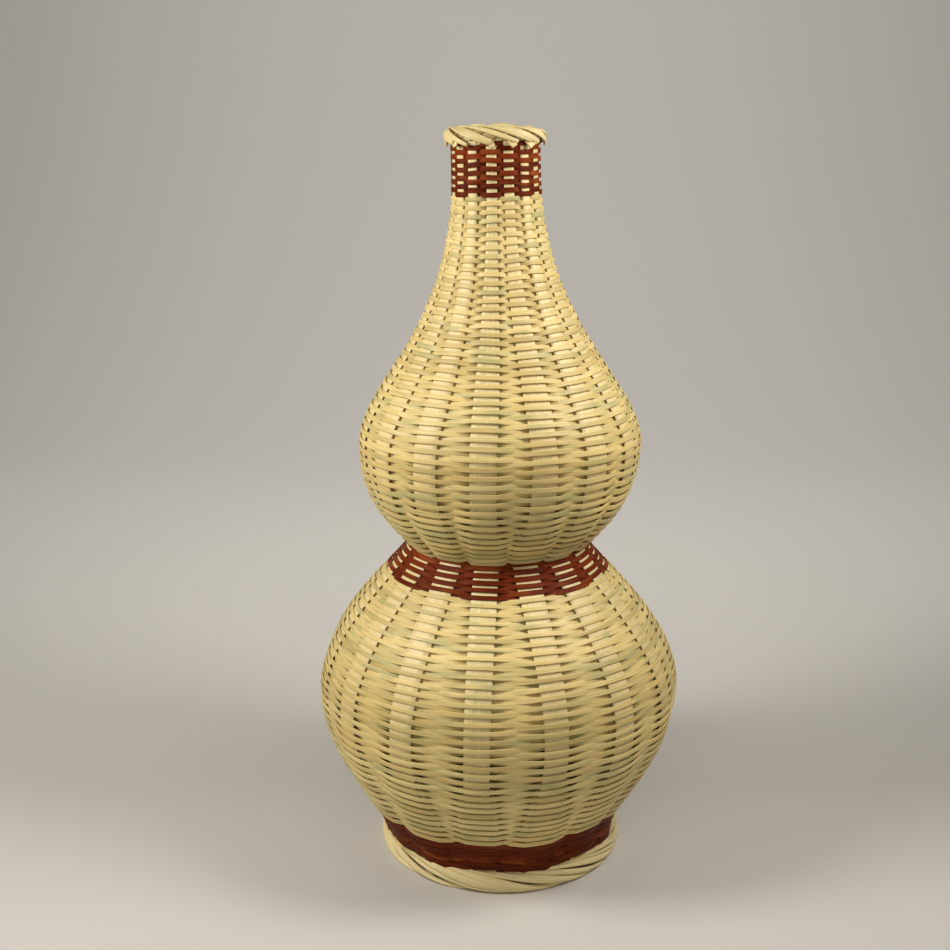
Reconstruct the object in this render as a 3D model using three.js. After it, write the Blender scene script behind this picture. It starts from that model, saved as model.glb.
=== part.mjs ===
// A woven bamboo vase: two bulbs and a slender neck on a low foot ring.
// Flat upright stakes run from the foot to the rim. Weavers pass over and under them, course by course,
// and the interlacing holds the wall together. At both ends the stakes are turned to the right, over
// their neighbours, and make the rim border and the foot border. A woven mat closes the bottom.
// Millimetres, +Z up. The vase stands on z = 0 with its axis on the Z axis.

import * as THREE from 'three';

// Heights of the outline's stretches, from the ground up
const FOOT_RING_HEIGHT = 9.7;
const FOOT_TO_BELLY = 65.6;
const BELLY_TO_WAIST = 64;
const WAIST_TO_BULB = 43.3;
const BULB_TO_NECK = 109.6;
const NECK_LENGTH = 11.4;

// Radii of the outside of the weave
const FOOT_RADIUS = 50.9;
const BELLY_RADIUS = 77;
const WAIST_RADIUS = 37.6;
const BULB_RADIUS = 58.4;
const NECK_RADIUS = 18;

// How far each outline point keeps its own direction before the curve bends away
const FOOT_EASE = 14.6;
const BELLY_EASE_BELOW = 29.3;
const BELLY_EASE_ABOVE = 27.7;
const WAIST_EASE_BELOW = 10.8;
const WAIST_EASE_ABOVE = 15.9;
const BULB_EASE_BELOW = 17.8;
const BULB_EASE_ABOVE = 22.2;
const NECK_EASE = 62.9;

// How far the wall flares at the end of the ease below and above the waist
const WAIST_FLARE_BELOW = 6;
const WAIST_FLARE_ABOVE = 16;

// Stakes: an odd count, so that a running weaver changes sides from row to row
const STAKE_PAIRS = 7;
const SEAM_ANGLE = 95.5;
const STAKE_WIDTH = 10.5;
const STAKE_THICKNESS = 1;
const STAKE_TIP_WIDTH = 4.1;
const STAKE_TIP_LENGTH = 33;
const STAKE_TAPER_LENGTH = 72;
const STAKE_FOOT_WIDTH = 8;

// Weavers: each course of the solid stands for several rows of thin splints
const WEAVER_THICKNESS = 0.7;
const COURSE_WIDTH = 8.7;
const CLEARANCE = 0.3;

// Dyed bands, measured along the wall
const FOOT_BAND = 16.2;
const WAIST_BAND = 15.7;
const NECK_BAND = 21;

// Borders: inside radius of each bend, angle turned through, and reach counted in stake spacings
const RIM_BEND_INSIDE = 0.95;
const RIM_BEND_ANGLE = 110;
const RIM_REACH = 2.4;
const FOOT_BEND_INSIDE = 0.75;
const FOOT_BEND_ANGLE = 80;
const FOOT_LANDING = 2;
const FOOT_TREAD = 0.5;
const LAYER_SLACK = 0.05;
const LAYER_LANDING = 0.65;

// Base mat
const BASE_THICKNESS = 2.5;

// Fineness of the solids: steps round a bend and along a border, sides of the mat, span of a wall normal
const BEND_STEPS = 3;
const REACH_STEP = 0.5;
const BASE_SIDES = 60;
const NORMAL_SPAN = 8;

// Finishes
const STAKE_FINISH = { color: 0xd9c48f, roughness: 0.55, metalness: 0 };
const STRAW_FINISH = { color: 0xc4a35a, roughness: 0.6, metalness: 0 };
const DYED_FINISH = { color: 0x7a2f1d, roughness: 0.6, metalness: 0 };
const BASE_FINISH = { color: 0xb8964f, roughness: 0.65, metalness: 0 };

// Values that follow from the driving dimensions
const STAKE_COUNT = 2 * STAKE_PAIRS + 1;
const SPACING = 360 / STAKE_COUNT;
const WEAVER_OFFSET = STAKE_THICKNESS / 2 + CLEARANCE + WEAVER_THICKNESS / 2;
const HALF_WALL = WEAVER_OFFSET + WEAVER_THICKNESS / 2;
const LAYER_STEP = STAKE_THICKNESS + CLEARANCE + LAYER_SLACK;
const RIM_BEND_RADIUS = RIM_BEND_INSIDE + STAKE_TIP_WIDTH / 2;
const FOOT_BEND_RADIUS = FOOT_BEND_INSIDE + STAKE_FOOT_WIDTH / 2;

const radians = THREE.MathUtils.degToRad;
const { clamp, lerp } = THREE.MathUtils;

const vase = new THREE.Group();
const wall = makeWallCurve();
const wallLength = wall.getLength();

addStakes();
addWeavers();
addBaseMat();

// The middle surface of the wall, as radius and height from the foot ring to the rim
function makeWallCurve() {
  const foot = new THREE.Vector2(FOOT_RADIUS - HALF_WALL, FOOT_RING_HEIGHT);
  const belly = new THREE.Vector2(BELLY_RADIUS - HALF_WALL, foot.y + FOOT_TO_BELLY);
  const waist = new THREE.Vector2(WAIST_RADIUS - HALF_WALL, belly.y + BELLY_TO_WAIST);
  const bulb = new THREE.Vector2(BULB_RADIUS - HALF_WALL, waist.y + WAIST_TO_BULB);
  const neck = new THREE.Vector2(NECK_RADIUS - HALF_WALL, bulb.y + BULB_TO_NECK);
  const top = new THREE.Vector2(neck.x, neck.y + NECK_LENGTH);
  const shifted = (point, outward, upward) => new THREE.Vector2(point.x + outward, point.y + upward);
  const curve = new THREE.CurvePath();
  curve.add(new THREE.CubicBezierCurve(
    foot, shifted(foot, 0, FOOT_EASE), shifted(belly, 0, -BELLY_EASE_BELOW), belly));
  curve.add(new THREE.CubicBezierCurve(
    belly, shifted(belly, 0, BELLY_EASE_ABOVE), shifted(waist, WAIST_FLARE_BELOW, -WAIST_EASE_BELOW), waist));
  curve.add(new THREE.CubicBezierCurve(
    waist, shifted(waist, WAIST_FLARE_ABOVE, WAIST_EASE_ABOVE), shifted(bulb, 0, -BULB_EASE_BELOW), bulb));
  curve.add(new THREE.CubicBezierCurve(
    bulb, shifted(bulb, 0, BULB_EASE_ABOVE), shifted(neck, 0, -NECK_EASE), neck));
  curve.add(new THREE.LineCurve(neck, top));
  return curve;
}

// Point of the wall at a distance along it, moved off the middle surface along its outward normal
function wallPoint(distance, offset) {
  const at = (place) => wall.getPoint(clamp(place / wallLength, 0, 1));
  const point = at(distance);
  const along = at(distance + NORMAL_SPAN / 2).sub(at(distance - NORMAL_SPAN / 2)).normalize();
  return new THREE.Vector2(point.x + along.y * offset, point.y - along.x * offset);
}

// Point in space from a direction round the axis, a radius, a sideways shift and a height
function place(angle, radius, sideways, height) {
  const turn = radians(angle);
  return new THREE.Vector3(
    radius * Math.cos(turn) - sideways * Math.sin(turn),
    radius * Math.sin(turn) + sideways * Math.cos(turn),
    height);
}

function stakeAngle(index) {
  return SEAM_ANGLE + index * SPACING;
}

// Width of a stake at a distance along the wall: slim at the foot, full on the bulbs, slim at the neck
function stakeWidth(distance) {
  const belowTip = (wallLength - distance - STAKE_TIP_LENGTH) / STAKE_TAPER_LENGTH;
  const upper = lerp(STAKE_TIP_WIDTH, STAKE_WIDTH, clamp(belowTip, 0, 1));
  const lower = lerp(STAKE_FOOT_WIDTH, STAKE_WIDTH, clamp(distance / FOOT_BAND, 0, 1));
  return Math.min(upper, lower);
}

// Closed strip through four-cornered sections. Seen along the strip, the corners run anticlockwise.
function stripGeometry(sections) {
  const positions = sections.flat().flatMap((corner) => corner.toArray());
  const triangles = [0, 1, 2, 0, 2, 3];
  for (let s = 0; s + 1 < sections.length; s += 1) {
    for (let c = 0; c < 4; c += 1) {
      const here = 4 * s + c;
      const beside = 4 * s + (c + 1) % 4;
      triangles.push(here, here + 4, beside + 4, here, beside + 4, beside);
    }
  }
  const last = 4 * (sections.length - 1);
  triangles.push(last, last + 2, last + 1, last, last + 3, last + 2);
  const geometry = new THREE.BufferGeometry();
  geometry.setAttribute('position', new THREE.Float32BufferAttribute(positions, 3));
  geometry.setIndex(triangles);
  geometry.computeVertexNormals();
  return geometry;
}

function addPiece(name, geometry, finish) {
  const mesh = new THREE.Mesh(geometry, new THREE.MeshStandardMaterial(finish));
  mesh.name = name;
  vase.add(mesh);
}

// Distances along the wall where one course of weavers ends and the next begins, zone by zone
function weaverZones() {
  const waistDistance = wall.curves[0].getLength() + wall.curves[1].getLength();
  const zones = [
    { name: 'foot_band', from: 0, to: FOOT_BAND, finish: DYED_FINISH },
    { name: 'belly', from: FOOT_BAND, to: waistDistance - WAIST_BAND, finish: STRAW_FINISH },
    { name: 'waist_band', from: waistDistance - WAIST_BAND, to: waistDistance, finish: DYED_FINISH },
    { name: 'bulb', from: waistDistance, to: wallLength - NECK_BAND, finish: STRAW_FINISH },
    { name: 'neck_band', from: wallLength - NECK_BAND, to: wallLength, finish: DYED_FINISH },
  ];
  for (const zone of zones) {
    zone.courses = Math.max(1, Math.round((zone.to - zone.from) / COURSE_WIDTH));
  }
  return zones;
}

function courseEdges(zone) {
  return Array.from({ length: zone.courses + 1 }, (_, k) => lerp(zone.from, zone.to, k / zone.courses));
}

// Section of a stake in the wall: flat across its width, with its faces along the wall
function stakeSection(angle, distance) {
  const half = stakeWidth(distance) / 2;
  const inner = wallPoint(distance, -STAKE_THICKNESS / 2);
  const outer = wallPoint(distance, STAKE_THICKNESS / 2);
  return [
    place(angle, inner.x, -half, inner.y),
    place(angle, inner.x, half, inner.y),
    place(angle, outer.x, half, outer.y),
    place(angle, outer.x, -half, outer.y),
  ];
}

// Section of a turned end. Heading 0 runs up, 90 runs to the right as seen from outside.
function turnedSection(angle, radius, height, heading, width) {
  const sideways = Math.cos(radians(heading)) * width / 2;
  const upward = -Math.sin(radians(heading)) * width / 2;
  const inner = radius - STAKE_THICKNESS / 2;
  const outer = radius + STAKE_THICKNESS / 2;
  return [
    place(angle, inner, -sideways, height - upward),
    place(angle, inner, sideways, height + upward),
    place(angle, outer, sideways, height + upward),
    place(angle, outer, -sideways, height - upward),
  ];
}

// How far a turned end stands off its own stake, so that it passes outside its neighbours' ends
function layerOffset(reach) {
  const climbing = LAYER_STEP * reach / LAYER_LANDING;
  const landed = LAYER_STEP * (1 + reach - LAYER_LANDING);
  return reach < LAYER_LANDING ? climbing : landed;
}

// Places along a turned end, at even steps after one reach and up to another
function reachStations(after, end) {
  const stations = [];
  for (let k = Math.floor(after / REACH_STEP) + 1; (k + 0.5) * REACH_STEP < end; k += 1) {
    stations.push(k * REACH_STEP);
  }
  return [...stations, end];
}

// Upper end of a stake: up out of the weave, over to the right and down across its neighbours.
// It clears the top of the weave until it is far enough out to hang down outside it.
function rimEnd(angle) {
  const radius = NECK_RADIUS - HALF_WALL;
  const reachOf = (sideways) => THREE.MathUtils.radToDeg(sideways / radius) / SPACING;
  const slope = radians(RIM_BEND_ANGLE - 90);
  const bendReach = reachOf(RIM_BEND_RADIUS * (1 - Math.cos(radians(RIM_BEND_ANGLE))));
  const bendRise = RIM_BEND_RADIUS * Math.sin(radians(RIM_BEND_ANGLE));
  const dropTo = (reach) => radians((reach - bendReach) * SPACING) * radius * Math.tan(slope);
  const clearOffset = HALF_WALL + CLEARANCE + STAKE_THICKNESS / 2;
  const clearReach = clearOffset / LAYER_STEP - 1 + LAYER_LANDING;
  const clearHeight = wallPoint(wallLength, 0).y + CLEARANCE + STAKE_TIP_WIDTH / 2 / Math.cos(slope);
  const bendHeight = clearHeight + dropTo(clearReach) - bendRise;
  const sections = [];
  const add = (reach, height, heading) => sections.push(
    turnedSection(angle + reach * SPACING, radius + layerOffset(reach), height, heading, STAKE_TIP_WIDTH));
  for (let step = 0; step <= BEND_STEPS; step += 1) {
    const heading = RIM_BEND_ANGLE * step / BEND_STEPS;
    const sideways = RIM_BEND_RADIUS * (1 - Math.cos(radians(heading)));
    add(reachOf(sideways), bendHeight + RIM_BEND_RADIUS * Math.sin(radians(heading)), heading);
  }
  for (const reach of reachStations(bendReach, RIM_REACH)) {
    add(reach, bendHeight + bendRise - dropTo(reach), RIM_BEND_ANGLE);
  }
  return sections;
}

// Lower end of a stake: down out of the weave, to the right and down to the ground, where it lies flat.
// The sections run from the tip back to the stake.
function footEnd(angle) {
  const radius = FOOT_RADIUS - HALF_WALL;
  const reachOf = (sideways) => THREE.MathUtils.radToDeg(sideways / radius) / SPACING;
  const sections = [];
  const add = (reach, height, heading) => sections.push(
    turnedSection(angle + reach * SPACING, radius + layerOffset(reach), height, heading, STAKE_FOOT_WIDTH));
  const onGround = STAKE_FOOT_WIDTH / 2;
  const bendReach = reachOf(FOOT_BEND_RADIUS * (1 - Math.cos(radians(FOOT_BEND_ANGLE))));
  const bendEnd = FOOT_RING_HEIGHT - FOOT_BEND_RADIUS * Math.sin(radians(FOOT_BEND_ANGLE));
  add(FOOT_LANDING + FOOT_TREAD, onGround, -90);
  add(FOOT_LANDING, onGround, -90);
  const sloping = [LAYER_LANDING, ...reachStations(LAYER_LANDING, FOOT_LANDING).slice(0, -1)];
  for (const reach of sloping.reverse()) {
    const left = (FOOT_LANDING - reach) / (FOOT_LANDING - bendReach);
    add(reach, lerp(onGround, bendEnd, left), -FOOT_BEND_ANGLE);
  }
  for (let step = BEND_STEPS; step > 0; step -= 1) {
    const heading = FOOT_BEND_ANGLE * step / BEND_STEPS;
    const sideways = FOOT_BEND_RADIUS * (1 - Math.cos(radians(heading)));
    add(reachOf(sideways), FOOT_RING_HEIGHT - FOOT_BEND_RADIUS * Math.sin(radians(heading)), -heading);
  }
  return sections;
}

function addStakes() {
  const edges = weaverZones().flatMap((zone) => courseEdges(zone).slice(1));
  for (let index = 0; index < STAKE_COUNT; index += 1) {
    const angle = stakeAngle(index);
    const upright = [0, ...edges].map((distance) => stakeSection(angle, distance));
    const sections = [...footEnd(angle), ...upright, ...rimEnd(angle)];
    addPiece(`stake_${String(index + 1).padStart(2, '0')}`, stripGeometry(sections), STAKE_FINISH);
  }
}

// One course: a weaver that starts on one side of the seam stake, passes the others alternately outside
// and inside, and ends on the seam stake's other side, so that its ends grip that stake.
function weaverCourse(lower, upper, startsOutside) {
  const sections = [];
  for (let pass = 0; pass <= STAKE_COUNT; pass += 1) {
    const outside = (pass % 2 === 0) === startsOutside;
    const middle = outside ? WEAVER_OFFSET : -WEAVER_OFFSET;
    for (const edge of [-1, 1]) {
      const corner = (distance, depth) => {
        const sideways = edge * (stakeWidth(distance) / 2 + CLEARANCE);
        const point = wallPoint(distance, middle + depth * WEAVER_THICKNESS / 2);
        return place(stakeAngle(pass), point.x, sideways, point.y);
      };
      sections.push([corner(lower, -1), corner(lower, 1), corner(upper, 1), corner(upper, -1)]);
    }
  }
  return stripGeometry(sections);
}

function addWeavers() {
  let startsOutside = true;
  for (const zone of weaverZones()) {
    const edges = courseEdges(zone);
    for (let k = 0; k < zone.courses; k += 1) {
      const geometry = weaverCourse(edges[k] + CLEARANCE / 2, edges[k + 1] - CLEARANCE / 2, startsOutside);
      const name = `${zone.name}_weaver_${String(k + 1).padStart(2, '0')}`;
      addPiece(name, geometry, zone.finish);
      startsOutside = !startsOutside;
    }
  }
}

// Woven mat that closes the bottom, held all round by the lowest course
function addBaseMat() {
  const lower = FOOT_RING_HEIGHT + CLEARANCE;
  const radius = wallPoint(0, -HALF_WALL).x - CLEARANCE;
  const profile = [
    new THREE.Vector2(0, lower),
    new THREE.Vector2(radius, lower),
    new THREE.Vector2(radius, lower + BASE_THICKNESS),
    new THREE.Vector2(0, lower + BASE_THICKNESS),
  ];
  const geometry = new THREE.LatheGeometry(profile, BASE_SIDES).rotateX(Math.PI / 2);
  addPiece('base_mat', geometry, BASE_FINISH);
}

export default vase;
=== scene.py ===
"""Woven bamboo vase: every strand of the weave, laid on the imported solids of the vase."""
import math
from collections import namedtuple

import bpy
import numpy as np
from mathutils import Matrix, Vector


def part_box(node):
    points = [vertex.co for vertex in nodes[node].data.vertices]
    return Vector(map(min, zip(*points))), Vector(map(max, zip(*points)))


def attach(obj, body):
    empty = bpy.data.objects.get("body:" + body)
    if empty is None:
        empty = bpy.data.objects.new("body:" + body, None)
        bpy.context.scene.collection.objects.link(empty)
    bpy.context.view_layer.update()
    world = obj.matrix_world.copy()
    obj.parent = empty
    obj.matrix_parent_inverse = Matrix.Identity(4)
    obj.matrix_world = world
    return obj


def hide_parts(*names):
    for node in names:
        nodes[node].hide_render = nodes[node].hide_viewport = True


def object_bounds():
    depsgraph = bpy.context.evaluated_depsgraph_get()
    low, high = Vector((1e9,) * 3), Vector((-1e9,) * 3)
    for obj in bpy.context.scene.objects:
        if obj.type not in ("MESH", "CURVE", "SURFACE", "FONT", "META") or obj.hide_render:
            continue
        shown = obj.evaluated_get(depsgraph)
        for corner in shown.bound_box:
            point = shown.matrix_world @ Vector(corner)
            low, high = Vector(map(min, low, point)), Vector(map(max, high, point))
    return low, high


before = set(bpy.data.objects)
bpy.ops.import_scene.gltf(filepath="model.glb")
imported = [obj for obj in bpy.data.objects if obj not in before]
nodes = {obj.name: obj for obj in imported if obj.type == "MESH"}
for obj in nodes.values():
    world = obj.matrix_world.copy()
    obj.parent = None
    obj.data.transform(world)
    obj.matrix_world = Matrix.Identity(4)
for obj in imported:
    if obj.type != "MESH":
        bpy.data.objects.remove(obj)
cad_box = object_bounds()

MM = 0.001
UP = np.array([0, 0, 1.0])
SEED = 11
random = np.random.default_rng(SEED)

# Weave zones from the foot up. lightest is the palest shade of a splint there, from 0 to 1. Each other value
# is one number for the whole zone, or three for its lower end, middle and upper end: pitch is the distance
# between rows in mm, width and behind are the width of a splint outside and inside a stake as shares of the
# pitch, play and inset the gap between it and the stake there in mm, and dive is the way in mm in which it
# leaves the stake.
Zone = namedtuple("Zone", "name slot lightest pitch width behind play inset dive")
ZONES = (
    # The foot band's splints are much darker than the other bands': partly a darker dye, partly painted shade
    # below the belly.
    Zone("foot_band", "dyed_weaver", lightest=0.1, pitch=2.1, width=(2.1, 2.1, 2.0), behind=1.7,
         play=0.05, inset=0.2, dive=4),
    Zone("belly", "straw_weaver", lightest=1, pitch=(2.1, 1.72, 1.88), width=(1.04, 0.98, 0.9),
         behind=(1.7, 1.5, 1.5), play=(0.6, 0.42, 0.05), inset=(1, 1.1, 0.6), dive=(8, 4.6, 2)),
    Zone("waist_band", "dyed_weaver", lightest=0.8, pitch=1.56, width=(1.28, 1.34, 1.38), behind=1.7,
         play=0.05, inset=0.3, dive=2.8),
    Zone("bulb", "straw_weaver", lightest=1, pitch=(1.75, 1.82, 1.68), width=(1.08, 1.06, 1.06),
         behind=(1.7, 1.6, 1.6), play=(0.55, 0.42, 0.05), inset=(1, 0.7, 0.5), dive=(7, 2.4, 1.8)),
    Zone("neck_band", "dyed_weaver", lightest=1, pitch=1.66, width=1.22, behind=1.7,
         play=0.05, inset=0.3, dive=2.2),
)

# Strips and splints. A splint's width between stakes is a share of the pitch. Its slack is the share of its
# swing that it takes slowly. Where the wall overhangs, a splint outside a stake stands up by a share of the
# tilt. The wall's middle line lies a little outside that of the solids, whose strips are thicker.
STAKE_THICKNESS = 0.65 * MM
SPLINT_THICKNESS = 0.5 * MM
SPLINT_WIDTH_BETWEEN = 1.25
SPLINT_SLACK = 0.4
SPLINT_UPRIGHT = 0.5
WALL_OUTSET = 0.6 * MM

# Fineness of the meshes
SAMPLES_PER_SPACING = 8
PITCH_SAMPLES = 400
WALL_STEP = 2.0 * MM
BORDER_STEPS = 56
CUT_END_STEPS = 5
BASE_SPOKE_STEPS = 24
BASE_COIL_STEPS = 120
FLOOR_BEND_STEPS = 12

# Unevenness of hand work. Each step is the way after which a value changes: in stake spacings for splints,
# in metres for stakes, and as a share of the strand for borders.
WIDTH_SPREAD = 0.09
WIDTH_STEP = 2.3
ROW_SHIFT = 0.14 * MM
ROW_SHIFT_STEP = 0.7
DEPTH_SHIFT = 0.06 * MM
DEPTH_SHIFT_STEP = 0.9
STAKE_DRIFT = 0.5 * MM
STAKE_DRIFT_STEP = 45 * MM
STAKE_WIDTH_SPREAD = 0.03
STAKE_WIDTH_STEP = 25 * MM
BORDER_SPREAD = 0.12
BORDER_STEP = 0.3

# Waves of the rows: each has a share of the height, a count in one turn and radians per metre up the wall.
# They fade out over some rows at a zone's edges.
ROW_WAVE = 0.30 * MM
ROW_WAVES = ((1, 3, 60), (0.6, 7, -170))
WAVE_FADE_ROWS = 8

# Ranges of a strand's lightness, stain and warmth, and of a splint's length in turns round the vase
ANY_TONE = ((0, 1), (0, 1), (0, 1))
RIM_TONE = ((0, 0.3), (0.3, 1), (0, 1))
FOOT_TONE = ((0.8, 1), (0, 1), (0, 1))
STAKE_TONE = ((0.5, 1), (0, 1), (0, 1))
SPLINT_TURNS = (0.5, 2.2)

# Sway of the hand-made axis to the right, by height: the foot ring sits a little to the right, and the mouth
# to the left
SWAY_HEIGHTS = np.array([0, 8, 20, 45, 75, 135, 182, 225, 310]) * MM
SWAY = np.array([1.2, 0.9, -0.8, -0.5, 0.1, -0.4, 0.4, 0.2, -1.9]) * MM

# Rim border: a roll round the mouth, and the strands that are laid over it. A strand starts and ends at an
# angle in the roll's section, while it turns round the vase. It fills a share of its room at its start,
# middle and end, and its lift is the share of its thickness above the roll. The border droops at both sides,
# and slopes down to the right.
RIM_OUTSET = 1.0 * MM
RIM_HALF_WIDTH = 2.0 * MM
RIM_HALF_HEIGHT = 3.7 * MM
RIM_STRAND_THICKNESS = 0.7 * MM
RIM_STRAND_LIFT = 0.6
RIM_FILL = (1.2, 1.3, 0.66)
RIM_PLACE_SPREAD = 0.16
RIM_WIDTH_SPREAD = 0.3
RIM_UNEVEN = 0.25 * MM
RIM_DROOP = 1.4 * MM
RIM_DROOP_POWER = 3
RIM_SLOPE = 0.45 * MM
RIM_START = 215
RIM_END = -34
RIM_END_SPREAD = 12
RIM_TURN = 120
RIM_TURN_SPREAD = 12
RIM_TILT = 0.14

# Foot border: a roll under the wall, made like the rim's. Each stake ends there in splints, given by their
# place in the spacing and their share of the width.
FOOT_OUTSET = 0.1 * MM
FOOT_HALF_WIDTH = 1.5 * MM
FOOT_STRAND_THICKNESS = 1.9 * MM
FOOT_STRAND_LIFT = 0.55
FOOT_FILL = (1.18, 1.18, 1.05)
FOOT_SPLINTS = ((-0.21, 0.52), (0.23, 0.36))
FOOT_PLACE_SPREAD = 0.04
FOOT_WIDTH_SPREAD = 0.22
FOOT_START = 125
FOOT_END = -140
FOOT_TURN = 84
FOOT_TURN_SPREAD = 12
FOOT_TILT = (0.05, 0.5)

# Cut ends that show under the rim at some stakes: their size, how far they stand out from the wall at their
# root and tip, how far they slant to the right, and how far above the wall's edge they start
CUT_END_SHARE = 0.6
CUT_END_LENGTH = 2.4 * MM
CUT_END_LENGTH_SHARES = (0.8, 1.2)
CUT_END_WIDTHS = (1.8 * MM, 2.8 * MM)
CUT_END_OUTSETS = (1.6 * MM, 2.8 * MM)
CUT_END_SLANTS = (0.3, 0.9)
CUT_END_RISE = 0.6 * MM

# Base mat: spokes that widen outwards, rows of a splint round them, and a coil over the hub
BASE_MARGIN = 0.5 * MM
BASE_HUB = 9 * MM
BASE_SPOKE_INNER = 2.2 * MM
BASE_SPOKE_OUTER = 7.5 * MM
BASE_ROW = 2.2 * MM
BASE_ROW_FILL = 0.95
BASE_DIVE = 2.8 * MM
BASE_COIL_START = 0.4

# Cross-sections, as shares of half the width and half the thickness
SPLINT_OUTLINE = np.array([
    (-0.96, -0.9), (0.96, -0.9), (1, 0.45), (0.94, 0.88),
    (0.78, 1), (-0.78, 1), (-0.94, 0.88), (-1, 0.45)])
STRAND_OUTLINE = np.array([
    (-1, -0.4), (-0.7, -1), (0.7, -1), (1, -0.4), (0.95, 0.3),
    (0.7, 0.8), (0.25, 1), (-0.25, 1), (-0.7, 0.8), (-0.95, 0.3)])
STAKE_OUTLINE = np.array([
    (-1, -0.3), (-0.95, -1), (-0.4, -1), (0.4, -1), (0.95, -1),
    (1, -0.3), (0.95, 0.9), (0.4, 1), (-0.4, 1), (-0.95, 0.9)])

# Looks of the bamboo: deep and pale are the darkest and lightest colour of its fibres, warm and stain what
# some strands and stretches turn to, stain_most is the strongest stain, and smooth and rough are the least
# and most roughness
Bamboo = namedtuple("Bamboo", "deep pale warm stain stain_most smooth rough specular")
BAMBOOS = {
    "stake_bamboo": Bamboo(
        deep=(0.55, 0.42, 0.17), pale=(0.93, 0.80, 0.44), warm=(0.90, 0.69, 0.33),
        stain=(0.52, 0.47, 0.21), stain_most=0.5, smooth=0.40, rough=0.58, specular=0.4),
    "straw_weaver": Bamboo(
        deep=(0.43, 0.31, 0.095), pale=(0.90, 0.74, 0.33), warm=(0.86, 0.60, 0.22),
        stain=(0.42, 0.40, 0.17), stain_most=0.8, smooth=0.38, rough=0.58, specular=0.35),
    "dyed_weaver": Bamboo(
        deep=(0.04, 0.004, 0.001), pale=(0.25, 0.036, 0.004), warm=(0.20, 0.023, 0.003),
        stain=(0.40, 0.10, 0.02), stain_most=0.5, smooth=0.45, rough=0.62, specular=0.08),
    "base_bamboo": Bamboo(
        deep=(0.46, 0.32, 0.12), pale=(0.70, 0.55, 0.27), warm=(0.66, 0.46, 0.20),
        stain=(0.38, 0.33, 0.14), stain_most=0.6, smooth=0.45, rough=0.65, specular=0.3),
}

# Grains of the bamboo: noise stretched along a strand, with its size both ways and the range of it that is
# used. The shares say how much of the lightness comes from the strand's own tone and from each grain, and how
# far a strand turns to its warm colour.
Grain = namedtuple("Grain", "along across detail low high")
FINE = Grain(along=14 * MM, across=0.16 * MM, detail=3, low=0.3, high=0.7)
STREAK = Grain(along=40 * MM, across=0.5 * MM, detail=2, low=0.35, high=0.65)
PATCH = Grain(along=13 * MM, across=4 * MM, detail=2, low=0.42, high=0.64)
NOISE_BETWEEN_STRANDS = 90
TONE_SHARE = 0.5
FINE_SHARE = 0.22
STREAK_SHARE = 0.28
WARMTH_SHARE = 0.4
BUMP_STRENGTH = 0.5
BUMP_DEPTH = 0.06 * MM

# Studio, in metres and watts
FLOOR_FRONT = 3.0
FLOOR_BACK = 0.7
FLOOR_BEND = 0.9
FLOOR_HALF_WIDTH = 5.0
BACKDROP_HEIGHT = 4.0
FLOOR_COLOUR = (0.64, 0.62, 0.58, 1)
FLOOR_ROUGHNESS = 0.9
WORLD_COLOUR = (1, 0.97, 0.93, 1)
WORLD_STRENGTH = 0.09
VASE_MIDDLE = (0, 0, 0.16)
Lamp = namedtuple("Lamp", "name place target size power colour")
LAMPS = (
    Lamp("left_lamp", (-0.35, -0.15, 0.4), VASE_MIDDLE, size=0.18, power=1.65, colour=(1, 0.96, 0.89)),
    Lamp("right_lamp", (0.24, -0.1, 0.4), VASE_MIDDLE, size=0.16, power=1.0, colour=(1, 0.96, 0.9)),
    Lamp("front_lamp", (-0.06, -0.6, 0.36), VASE_MIDDLE, size=0.24, power=0.5, colour=(1, 0.96, 0.89)),
    Lamp("backdrop_lamp", (0, 0.45, 1.0), (0, 1.38, 0.63), size=1.5, power=10, colour=(1, 0.98, 0.95)),
)

# Camera, as fitted to the photograph
LENS = 53.05
SENSOR = 36
CAMERA_PLACE = (0, -0.571, 0.3142)
CAMERA_PITCH = 14.5
CAMERA_YAW = 0.98
CAMERA_ROLL = 0.1

stake_names = sorted(name for name in nodes if name.startswith("stake_"))
STAKES = len(stake_names)
SPACING = 2 * math.pi / STAKES


def zone_nodes(zone):
    """Names of a zone's courses, from its lower edge up."""
    return sorted(name for name in nodes if name.startswith(zone + "_weaver"))


def unit(vectors):
    """Vectors scaled to a length of 1."""
    return vectors / np.linalg.norm(vectors, axis=-1, keepdims=True)


def around(angle):
    """Outward and sideways directions at an angle round the axis."""
    zero = np.zeros_like(angle)
    outward = np.stack([np.cos(angle), np.sin(angle), zero], axis=-1)
    sideways = np.stack([-np.sin(angle), np.cos(angle), zero], axis=-1)
    return outward, sideways


def ring_points(angle, radius, height):
    """Places round the axis, and the outward directions there."""
    outward, _ = around(angle)
    return outward * radius[:, None] + UP * np.asarray(height)[..., None], outward


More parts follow.
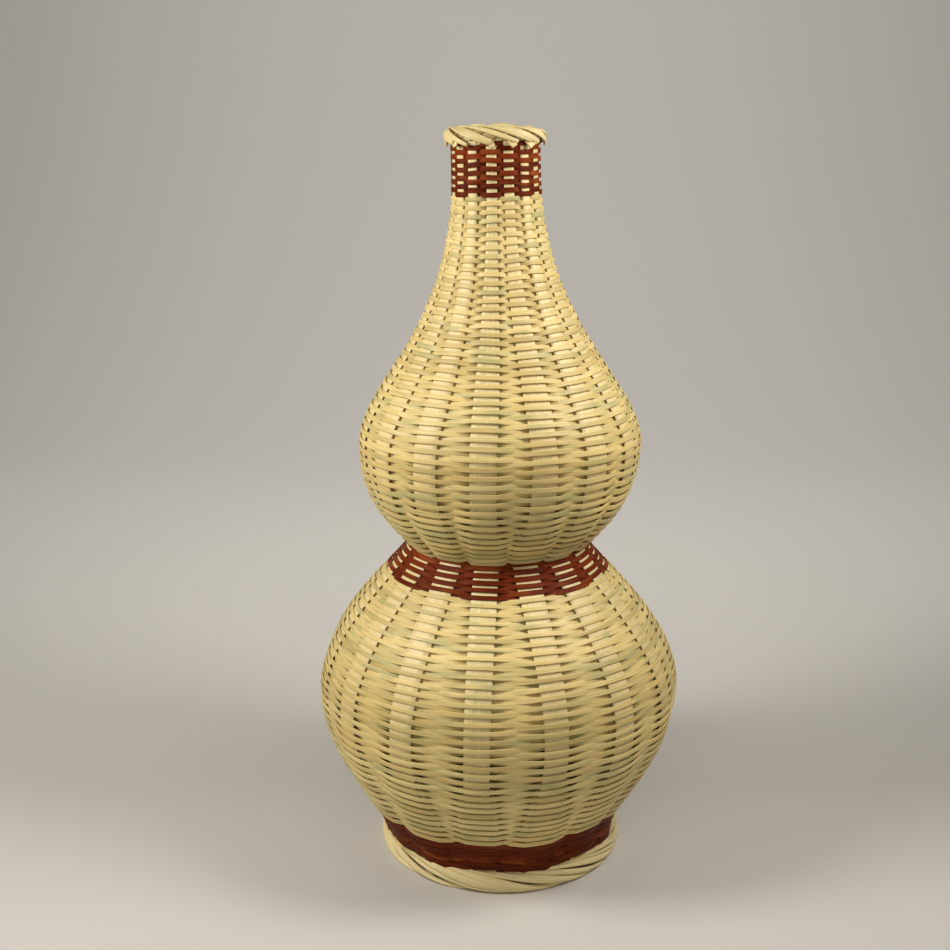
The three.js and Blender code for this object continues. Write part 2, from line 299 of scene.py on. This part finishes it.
class Wall:
    """Middle line of the wall, read from the stakes' solids: one station at each edge of a course."""

    READ_MARGIN = 0.2 * MM
    READ_DIGITS = 6
    STAKE_REACH = 6 * MM
    SECTION_CORNERS = 4
    FINE_STEPS = 60

    def __init__(self):
        self.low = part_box(zone_nodes("foot_band")[0])[0].z - self.READ_MARGIN
        self.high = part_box(zone_nodes("neck_band")[-1])[1].z + self.READ_MARGIN
        self.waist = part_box(zone_nodes("waist_band")[0])[0].z
        self.angles = [self.stations(name)[0] for name in stake_names]
        station = self.stations(stake_names[0])[1]
        crease = len(zone_nodes("foot_band") + zone_nodes("belly") + zone_nodes("waist_band"))
        lower = self.curve(station[:crease + 1])
        upper = self.curve(station[crease:])
        line = np.concatenate([lower, upper, station[-1:]])
        line[:, 0] += WALL_OUTSET
        lengths = np.linalg.norm(np.diff(line[:, :2], axis=0), axis=1)
        self.distance = np.concatenate([[0], np.cumsum(lengths)])
        self.radius, self.height, self.half_stake = line.T
        self.edges = self.distance[::self.FINE_STEPS]
        self.length = self.distance[-1]
        rise = unit(np.gradient(line[:, :2], self.distance, axis=0))
        self.lean, self.climb = rise.T

    def stations(self, name):
        """Angle of a stake, and the radius, height and half width at each of its sections in the wall."""
        corners = np.round([vertex.co for vertex in nodes[name].data.vertices], self.READ_DIGITS)
        corners = np.unique(corners, axis=0)
        corners = corners[(corners[:, 2] > self.low) & (corners[:, 2] < self.high)]
        x, y, _ = corners[corners[:, 2] < self.waist].mean(axis=0)
        angle = math.atan2(y, x)
        outward, sideways = around(np.array(angle))
        corners = corners[np.abs(corners @ sideways) < self.STAKE_REACH]
        corners = corners[np.argsort(corners[:, 2])].reshape(-1, self.SECTION_CORNERS, 3)
        middle = corners.mean(axis=1)
        half = np.abs(corners @ sideways).mean(axis=1)
        return angle, np.stack([middle @ outward, middle[:, 2], half], axis=1)

    def curve(self, station):
        """Smooth curve through some stations, without its end point."""
        steps = np.linalg.norm(np.diff(station[:, :2], axis=0), axis=1)
        slope = np.gradient(station, np.concatenate([[0], np.cumsum(steps)]), axis=0)
        t = np.linspace(0, 1, self.FINE_STEPS, endpoint=False)[:, None]
        pieces = []
        for k, step in enumerate(steps):
            start = (1 + 2 * t) * (1 - t) ** 2 * station[k] + t * (1 - t) ** 2 * step * slope[k]
            end = t ** 2 * (3 - 2 * t) * station[k + 1] + t ** 2 * (t - 1) * step * slope[k + 1]
            pieces.append(start + end)
        return np.concatenate(pieces)

    def look_up(self, distance, values):
        """One of the wall's values at a distance along it."""
        return np.interp(distance, self.distance, values)

    def point(self, angle, distance, offset):
        """Place in space at an angle and a distance along the wall, and the wall's outward normal there."""
        radius = self.look_up(distance, self.radius)
        height = self.look_up(distance, self.height)
        middle, outward = ring_points(angle, radius, height)
        lean = self.look_up(distance, self.lean)[:, None]
        climb = self.look_up(distance, self.climb)[:, None]
        normal = unit(outward * climb - UP * lean)
        return middle + normal * offset[:, None], normal


def wander(places, step):
    """Random values from -1 to 1 that drift along places and change about every step."""
    knots = np.arange(places.min(), places.max() + 2 * step, step)
    return np.interp(places, knots, random.uniform(-1, 1, len(knots)))


def stray(most):
    """One random value from -most to most."""
    return most * random.uniform(-1, 1)


def random_tone(ranges=ANY_TONE):
    """Lightness, stain and warmth of one strand."""
    lowest, highest = np.transpose(ranges)
    return random.uniform(lowest, highest)


def sweep(centres, facing, width, thickness, outline, tone, bow=0.0):
    """Closed strip along centres, its flat side towards facing. bow is how strongly it curls across."""
    count = len(centres)
    tangent = unit(np.gradient(centres, axis=0))
    across = unit(np.cross(facing, tangent))
    normal = np.cross(tangent, across)
    side = outline[:, 0] * (np.ones(count) * width)[:, None] / 2
    depth = outline[:, 1] * (np.ones(count) * thickness)[:, None] / 2
    depth = depth - (np.ones(count) * bow)[:, None] * side ** 2 / 2
    points = centres[:, None] + side[..., None] * across[:, None] + depth[..., None] * normal[:, None]
    run = np.concatenate([[0], np.cumsum(np.linalg.norm(np.diff(centres, axis=0), axis=1))])
    strand_number = random.uniform(0, 1)
    fibre = np.stack(np.broadcast_arrays(run[:, None], side, strand_number), axis=-1)
    tones = np.broadcast_to(np.asarray(tone, float).reshape(-1, 1, 3), points.shape)
    sides = len(outline)
    ring = np.arange(sides)
    beside = (ring + 1) % sides
    start = sides * np.arange(count - 1)[:, None]
    quads = np.stack([start + ring, start + beside, start + sides + beside, start + sides + ring], axis=-1)
    faces = quads.reshape(-1, 4).tolist()
    faces.append(ring[::-1].tolist())
    faces.append((sides * (count - 1) + ring).tolist())
    return points.reshape(-1, 3), faces, fibre.reshape(-1, 3), tones.reshape(-1, 3)


def swayed(points):
    """Places shifted as far as the axis sways at their height."""
    shifts = np.zeros_like(points)
    shifts[:, 0] = np.interp(points[:, 2], SWAY_HEIGHTS, SWAY)
    return points + shifts


def add_piece(name, strips, material, replaced):
    """One object from some strips, which stands for CAD nodes and takes a slot's finish."""
    points, faces, fibres, tones = [], [], [], []
    count = 0
    for strip_points, strip_faces, strip_fibre, strip_tone in strips:
        faces.extend([corner + count for corner in face] for face in strip_faces)
        count += len(strip_points)
        points.append(strip_points)
        fibres.append(strip_fibre)
        tones.append(strip_tone)
    mesh = bpy.data.meshes.new(name)
    mesh.from_pydata(swayed(np.concatenate(points)).tolist(), [], faces)
    for label, values in (("fibre", fibres), ("tone", tones)):
        layer = mesh.attributes.new(label, "FLOAT_VECTOR", "POINT")
        layer.data.foreach_set("vector", np.concatenate(values).ravel())
    mesh.polygons.foreach_set("use_smooth", [True] * len(mesh.polygons))
    mesh.materials.append(material)
    piece = bpy.data.objects.new(name, mesh)
    bpy.context.scene.collection.objects.link(piece)
    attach(piece, "root")
    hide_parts(*replaced)


# Materials

def link_math(tree, operation, first, second):
    """Product, or sum up to 1, of two values, each a number or taken from another node."""
    math_node = tree.nodes.new("ShaderNodeMath")
    math_node.operation = operation
    math_node.use_clamp = operation == "ADD"
    for socket, value in zip(math_node.inputs, (first, second)):
        if isinstance(value, (int, float)):
            socket.default_value = value
        else:
            tree.links.new(value, socket)
    return math_node.outputs[0]


def fibre_noise(tree, grain):
    """Noise stretched along a strand, different on each."""
    place = tree.nodes.new("ShaderNodeAttribute")
    place.attribute_name = "fibre"
    scale = tree.nodes.new("ShaderNodeVectorMath")
    scale.operation = "MULTIPLY"
    scale.inputs[1].default_value = (1 / grain.along, 1 / grain.across, NOISE_BETWEEN_STRANDS)
    noise = tree.nodes.new("ShaderNodeTexNoise")
    noise.inputs["Scale"].default_value = 1
    noise.inputs["Detail"].default_value = grain.detail
    tree.links.new(place.outputs["Vector"], scale.inputs[0])
    tree.links.new(scale.outputs[0], noise.inputs["Vector"])
    return noise.outputs["Fac"]


def spread(tree, noise, grain, to_low, to_high):
    """A grain's noise, stretched from the range of it that is used onto another range, with soft ends."""
    ranged = tree.nodes.new("ShaderNodeMapRange")
    ranged.interpolation_type = "SMOOTHSTEP"
    ranged.inputs["From Min"].default_value = grain.low
    ranged.inputs["From Max"].default_value = grain.high
    ranged.inputs["To Min"].default_value = to_low
    ranged.inputs["To Max"].default_value = to_high
    tree.links.new(noise, ranged.inputs["Value"])
    return ranged.outputs["Result"]


def mixed(tree, share, first, second):
    """Mix of two colours, each written out or taken from another node."""
    mix = tree.nodes.new("ShaderNodeMix")
    mix.data_type = "RGBA"
    tree.links.new(share, mix.inputs[0])
    colour_sockets = [socket for socket in mix.inputs if socket.type == "RGBA"]
    for socket, colour in zip(colour_sockets, (first, second)):
        if isinstance(colour, tuple):
            socket.default_value = (*colour, 1)
        else:
            tree.links.new(colour, socket)
    return next(socket for socket in mix.outputs if socket.type == "RGBA")


def bamboo(name, look):
    """Split bamboo: fibres along each strand, a shade and warmth of its own for each, and stains."""
    material = bpy.data.materials.new(name)
    material.use_nodes = True
    tree = material.node_tree
    shader = tree.nodes["Principled BSDF"]
    tone = tree.nodes.new("ShaderNodeAttribute")
    tone.attribute_name = "tone"
    tones = tree.nodes.new("ShaderNodeSeparateXYZ")
    tree.links.new(tone.outputs["Vector"], tones.inputs[0])
    own_lightness, own_stain, own_warmth = tones.outputs
    fine = fibre_noise(tree, FINE)
    streak = fibre_noise(tree, STREAK)
    patch = fibre_noise(tree, PATCH)

    lightness = link_math(tree, "MULTIPLY", own_lightness, TONE_SHARE)
    lightness = link_math(tree, "ADD", lightness, spread(tree, fine, FINE, 0, FINE_SHARE))
    lightness = link_math(tree, "ADD", lightness, spread(tree, streak, STREAK, 0, STREAK_SHARE))
    warmth = link_math(tree, "MULTIPLY", own_warmth, WARMTH_SHARE)
    stained = link_math(tree, "MULTIPLY", spread(tree, patch, PATCH, 0, look.stain_most), own_stain)
    colour = mixed(tree, lightness, look.deep, look.pale)
    colour = mixed(tree, warmth, colour, look.warm)
    colour = mixed(tree, stained, colour, look.stain)
    tree.links.new(colour, shader.inputs["Base Color"])
    tree.links.new(spread(tree, fine, FINE, look.rough, look.smooth), shader.inputs["Roughness"])
    shader.inputs["Specular IOR Level"].default_value = look.specular

    bump = tree.nodes.new("ShaderNodeBump")
    bump.inputs["Strength"].default_value = BUMP_STRENGTH
    bump.inputs["Distance"].default_value = BUMP_DEPTH
    tree.links.new(fine, bump.inputs["Height"])
    tree.links.new(bump.outputs[0], shader.inputs["Normal"])
    return material


# Weave

def along_zone(values, distance, levels):
    """A zone's value at some distances. levels are those of its lower end, middle and upper end."""
    return np.interp(distance, levels, np.broadcast_to(values, len(levels)))


def zone_rows(zone, levels):
    """Rows counted along a zone's running splint, and the distance along the wall and the pitch there."""
    way = np.linspace(levels[0], levels[-1], PITCH_SAMPLES)
    pitch = MM * along_zone(zone.pitch, way, levels)
    passed = np.concatenate([[0], np.cumsum(np.diff(way) / ((pitch[1:] + pitch[:-1]) / 2))])
    rows = round(passed[-1])
    counted = np.linspace(0, rows, rows * STAKES * SAMPLES_PER_SPACING + 1)
    distance = np.interp(counted, passed * rows / passed[-1], way)
    return counted, distance, np.interp(distance, way, pitch * passed[-1] / rows)


def row_wave(counted, angle, distance):
    """How far the rows of a zone swing up or down."""
    fade_in = np.clip(counted / WAVE_FADE_ROWS, 0, 1)
    fade_out = np.clip((counted[-1] - counted) / WAVE_FADE_ROWS, 0, 1)
    wave = sum(share * np.sin(count * angle + climb * distance) for share, count, climb in ROW_WAVES)
    return ROW_WAVE * wave * fade_in * fade_out


def splint_swing(place, spacing, half_stake, dive):
    """1 outside a stake, -1 inside the next. place counts stakes, and spacing is the way between two.

    Beside a stake the splint dives quickly to near the middle of the wall, and then crosses it slowly.
    """
    nearest = np.rint(place)
    away = np.clip(np.abs(place - nearest) * spacing - half_stake, 0, None)
    gap = spacing / 2 - half_stake
    quick = 0.5 + 0.5 * np.cos(math.pi * np.clip(away / np.minimum(dive, gap), 0, 1))
    slow = 1 - away / gap
    return np.where(nearest % 2 == 0, 1, -1) * ((1 - SPLINT_SLACK) * quick + SPLINT_SLACK * slow)


def splint_tones(turns, lightest=1):
    """Tone at each sample: splints are about a turn long, and each has a tone of its own."""
    tones = np.empty((len(turns), 3))
    end = turns[0]
    for k, turn in enumerate(turns):
        if turn >= end:
            tone = random_tone() * (lightest, 1, 1)
            end = turn + random.uniform(*SPLINT_TURNS)
        tones[k] = tone
    return tones


def weave_zone(wall, zone, lower, upper, first_row):
    """The running splint of one zone, wound from its lower to its upper edge, and the row it ends on."""
    levels = [lower, (lower + upper) / 2, upper]
    counted, distance, pitch = zone_rows(zone, levels)
    turns = first_row + counted
    place = turns * STAKES
    angle = wall.angles[0] + 2 * math.pi * turns
    distance = distance + row_wave(counted, angle, distance) + ROW_SHIFT * wander(place, ROW_SHIFT_STEP)

    spacing = wall.look_up(distance, wall.radius) * SPACING
    half_stake = wall.look_up(distance, wall.half_stake)
    swing = splint_swing(place, spacing, half_stake, MM * along_zone(zone.dive, distance, levels))
    play = along_zone(zone.play, distance, levels)
    inset = along_zone(zone.inset, distance, levels)
    reach = (STAKE_THICKNESS + SPLINT_THICKNESS) / 2 + MM * np.where(swing > 0, play, inset)
    offset = swing * reach + DEPTH_SHIFT * wander(place, DEPTH_SHIFT_STEP)
    centres, facing = wall.point(angle, distance, offset)
    facing[:, 2] += SPLINT_UPRIGHT * np.maximum(-facing[:, 2], 0) * np.maximum(swing, 0)

    outside = along_zone(zone.width, distance, levels)
    inside = along_zone(zone.behind, distance, levels)
    at_stake = np.where(swing > 0, outside, inside)
    share = SPLINT_WIDTH_BETWEEN + (at_stake - SPLINT_WIDTH_BETWEEN) * swing ** 2
    width = pitch * share * (1 + WIDTH_SPREAD * wander(place, WIDTH_STEP))
    tones = splint_tones(turns, zone.lightest)
    return sweep(centres, facing, width, SPLINT_THICKNESS, SPLINT_OUTLINE, tones), turns[-1]


def weave_wall(wall, materials):
    """One piece for each zone. The rows run on from zone to zone."""
    edge = 0
    row = 0
    for zone in ZONES:
        replaced = zone_nodes(zone.name)
        lower = wall.edges[edge]
        edge += len(replaced)
        strip, row = weave_zone(wall, zone, lower, wall.edges[edge], row)
        add_piece(zone.name + "_weave", [strip], materials[zone.slot], replaced)


# Stakes and borders

def border_strand(angle, centre, half_width, half_height, start, end, turn, fill, thickness, tilt, tone):
    """A strand laid round a roll, from one section angle to another while it runs to the right.

    centre is the radius and height of the roll's middle.
    fill is how much of the room between its neighbours it takes at its start, middle and end.
    tilt lifts one of its edges, so that it lies on its neighbour.
    """
    share = np.linspace(0, 1, BORDER_STEPS)
    section = np.radians(start + (end - start) * share)
    radius = centre[0] + half_width * np.cos(section)
    height = centre[1] + half_height * np.sin(section)
    centres, outward = ring_points(angle + math.radians(turn) * share, radius, height)
    facing = outward * (np.cos(section) / half_width)[:, None] + UP * (np.sin(section) / half_height)[:, None]
    facing = unit(facing)
    room = np.hypot(half_width * np.sin(section), half_height * np.cos(section))
    room = room * abs(math.radians(end - start)) * SPACING / math.radians(turn)
    width = room * np.interp(share, [0, 0.5, 1], fill) * (1 + BORDER_SPREAD * wander(share, BORDER_STEP))
    across = unit(np.cross(facing, np.gradient(centres, axis=0)))
    return sweep(centres, facing + tilt * across, width, thickness, STRAND_OUTLINE, tone)


def rim_strand(angle, wall):
    """A stake's upper end, laid over the rim. Each runs and ends a little differently."""
    crest = angle + math.radians(RIM_TURN) / 2
    droop = RIM_DROOP * abs(math.cos(crest)) ** RIM_DROOP_POWER + RIM_SLOPE * (1 + math.cos(crest))
    top = cad_box[1].z - RIM_UNEVEN * random.uniform(0, 1) - droop
    middle = top - RIM_HALF_HEIGHT - RIM_STRAND_LIFT * RIM_STRAND_THICKNESS
    return border_strand(
        angle + stray(RIM_PLACE_SPREAD) * SPACING,
        centre=(wall.radius[-1] + RIM_OUTSET, middle),
        half_width=RIM_HALF_WIDTH,
        half_height=RIM_HALF_HEIGHT,
        start=RIM_START,
        end=RIM_END + stray(RIM_END_SPREAD),
        turn=RIM_TURN + stray(RIM_TURN_SPREAD),
        fill=np.multiply(RIM_FILL, 1 + stray(RIM_WIDTH_SPREAD)),
        thickness=RIM_STRAND_THICKNESS,
        tilt=RIM_TILT,
        tone=random_tone(RIM_TONE))


def foot_strand(angle, wall, shift, share):
    """One splint of a stake's lower end in the foot border, given by its place and its share of the width."""
    middle = wall.height[0] / 2
    return border_strand(
        angle + (shift + stray(FOOT_PLACE_SPREAD)) * SPACING,
        centre=(wall.radius[0] + FOOT_OUTSET, middle),
        half_width=FOOT_HALF_WIDTH,
        half_height=middle - FOOT_STRAND_LIFT * FOOT_STRAND_THICKNESS,
        start=FOOT_START,
        end=FOOT_END,
        turn=FOOT_TURN + stray(FOOT_TURN_SPREAD),
        fill=np.multiply(FOOT_FILL, share * (1 + stray(FOOT_WIDTH_SPREAD))),
        thickness=FOOT_STRAND_THICKNESS,
        tilt=random.uniform(*FOOT_TILT),
        tone=random_tone(FOOT_TONE))


def cut_end(angle, wall):
    """A stake's cut tip, which points down to the right under the rim."""
    length = CUT_END_LENGTH * random.uniform(*CUT_END_LENGTH_SHARES)
    run = np.linspace(0, length, CUT_END_STEPS)
    radius = wall.radius[-1] + np.linspace(*CUT_END_OUTSETS, CUT_END_STEPS)
    slant = random.uniform(*CUT_END_SLANTS)
    height = wall.height[-1] + CUT_END_RISE - run
    centres, outward = ring_points(angle + slant * run / radius, radius, height)
    width = random.uniform(*CUT_END_WIDTHS)
    return sweep(centres, outward, width, STAKE_THICKNESS, STAKE_OUTLINE, random_tone())


def make_stake(wall, index, material):
    """One stake: the strip in the wall, its strand of the rim border and its strands of the foot border."""
    angle = wall.angles[index]
    tone = random_tone(STAKE_TONE)
    samples = round(wall.length / WALL_STEP)
    distance = np.linspace(0, wall.length, samples)
    radius = wall.look_up(distance, wall.radius)
    drift = STAKE_DRIFT * wander(distance, STAKE_DRIFT_STEP) / radius
    centres, facing = wall.point(angle + drift, distance, np.zeros(samples))
    width = 2 * wall.look_up(distance, wall.half_stake)
    width = width * (1 + STAKE_WIDTH_SPREAD * wander(distance, STAKE_WIDTH_STEP))
    strips = [sweep(centres, facing, width, STAKE_THICKNESS, STAKE_OUTLINE, tone, bow=1 / radius)]

    strips.append(rim_strand(angle, wall))
    for shift, share in FOOT_SPLINTS:
        strips.append(foot_strand(angle, wall, shift, share))
    if random.uniform() < CUT_END_SHARE:
        strips.append(cut_end(angle, wall))
    name = stake_names[index]
    add_piece(name + "_strip", strips, material, [name])


# Base mat

def base_strip(angle, radius, height, width, thickness, outline, tone):
    """A strip of the base mat, its flat side up."""
    centres, _ = ring_points(angle, radius, height)
    return sweep(centres, np.tile(UP, (len(centres), 1)), width, thickness, outline, tone)


def make_base(wall, material):
    """Spokes under the stakes, a splint woven round them, and a coil over the hub."""
    low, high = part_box("base_mat")
    middle = (low.z + high.z) / 2
    rim = high.x - BASE_MARGIN
    reach = (STAKE_THICKNESS + SPLINT_THICKNESS) / 2

    def spoke_width(radius):
        return np.interp(radius, [BASE_HUB / 2, rim], [BASE_SPOKE_INNER, BASE_SPOKE_OUTER])

    def base_splint(turns, radius, height, tone):
        angle = wall.angles[0] + 2 * math.pi * turns
        width = BASE_ROW_FILL * BASE_ROW
        return base_strip(angle, radius, height, width, SPLINT_THICKNESS, SPLINT_OUTLINE, tone)

    strips = []
    radius = np.linspace(BASE_HUB / 2, rim, BASE_SPOKE_STEPS)
    for angle in wall.angles:
        spoke = np.full(BASE_SPOKE_STEPS, angle)
        width = spoke_width(radius)
        strips.append(base_strip(spoke, radius, middle, width, STAKE_THICKNESS, STAKE_OUTLINE, random_tone()))

    rows = int((rim - BASE_HUB) / BASE_ROW)
    turns = np.linspace(0, rows, rows * STAKES * SAMPLES_PER_SPACING)
    radius = BASE_HUB + BASE_ROW * turns
    swing = splint_swing(turns * STAKES, radius * SPACING, spoke_width(radius) / 2, BASE_DIVE)
    strips.append(base_splint(turns, radius, middle + reach * swing, splint_tones(turns)))

    coil_turns = np.linspace(BASE_COIL_START, BASE_HUB / BASE_ROW, BASE_COIL_STEPS)
    strips.append(base_splint(coil_turns, BASE_ROW * coil_turns, middle + reach, random_tone()))
    add_piece("base_weave", strips, material, ["base_mat"])


# Studio

def make_floor():
    """Pale sweep: a floor that curves up into a backdrop."""
    profile = [(-FLOOR_FRONT, 0.0)]
    for step in range(FLOOR_BEND_STEPS + 1):
        turn = math.pi / 2 * step / FLOOR_BEND_STEPS
        profile.append((FLOOR_BACK + FLOOR_BEND * math.sin(turn), FLOOR_BEND * (1 - math.cos(turn))))
    profile.append((FLOOR_BACK + FLOOR_BEND, BACKDROP_HEIGHT))
    points = [(side * FLOOR_HALF_WIDTH, y, z) for y, z in profile for side in (-1, 1)]
    faces = [(2 * k, 2 * k + 1, 2 * k + 3, 2 * k + 2) for k in range(len(profile) - 1)]
    mesh = bpy.data.meshes.new("studio_floor")
    mesh.from_pydata(points, [], faces)
    mesh.polygons.foreach_set("use_smooth", [True] * len(faces))
    material = bpy.data.materials.new("studio_floor")
    material.use_nodes = True
    shader = material.node_tree.nodes["Principled BSDF"]
    shader.inputs["Base Color"].default_value = FLOOR_COLOUR
    shader.inputs["Roughness"].default_value = FLOOR_ROUGHNESS
    mesh.materials.append(material)
    floor = bpy.data.objects.new("studio_floor", mesh)
    bpy.context.scene.collection.objects.link(floor)


def add_lamp(lamp):
    """Round area lamp that faces its target."""
    light = bpy.data.lights.new(lamp.name, "AREA")
    light.shape = "DISK"
    light.size = lamp.size
    light.energy = lamp.power
    light.color = lamp.colour
    thing = bpy.data.objects.new(lamp.name, light)
    thing.location = lamp.place
    thing.rotation_euler = (Vector(lamp.target) - Vector(lamp.place)).to_track_quat("-Z", "Y").to_euler()
    bpy.context.scene.collection.objects.link(thing)


def light_scene():
    """The lamps, and a weak even light from all round."""
    for lamp in LAMPS:
        add_lamp(lamp)
    world = bpy.data.worlds.new("studio")
    world.use_nodes = True
    background = world.node_tree.nodes["Background"]
    background.inputs["Color"].default_value = WORLD_COLOUR
    background.inputs["Strength"].default_value = WORLD_STRENGTH
    bpy.context.scene.world = world


def make_camera():
    """Camera at the photograph's viewpoint."""
    camera = bpy.data.cameras.new("camera")
    camera.lens = LENS
    camera.sensor_width = SENSOR
    thing = bpy.data.objects.new("camera", camera)
    thing.location = CAMERA_PLACE
    turns = (90 - CAMERA_PITCH, CAMERA_ROLL, CAMERA_YAW)
    thing.rotation_euler = [math.radians(turn) for turn in turns]
    bpy.context.scene.collection.objects.link(thing)
    bpy.context.scene.camera = thing


materials = {slot: bamboo(slot, look) for slot, look in BAMBOOS.items()}
wall = Wall()
weave_wall(wall, materials)
for index in range(STAKES):
    make_stake(wall, index, materials["stake_bamboo"])
make_base(wall, materials["base_bamboo"])
make_floor()
light_scene()
make_camera()
bpy.context.scene.view_settings.view_transform = "Standard"
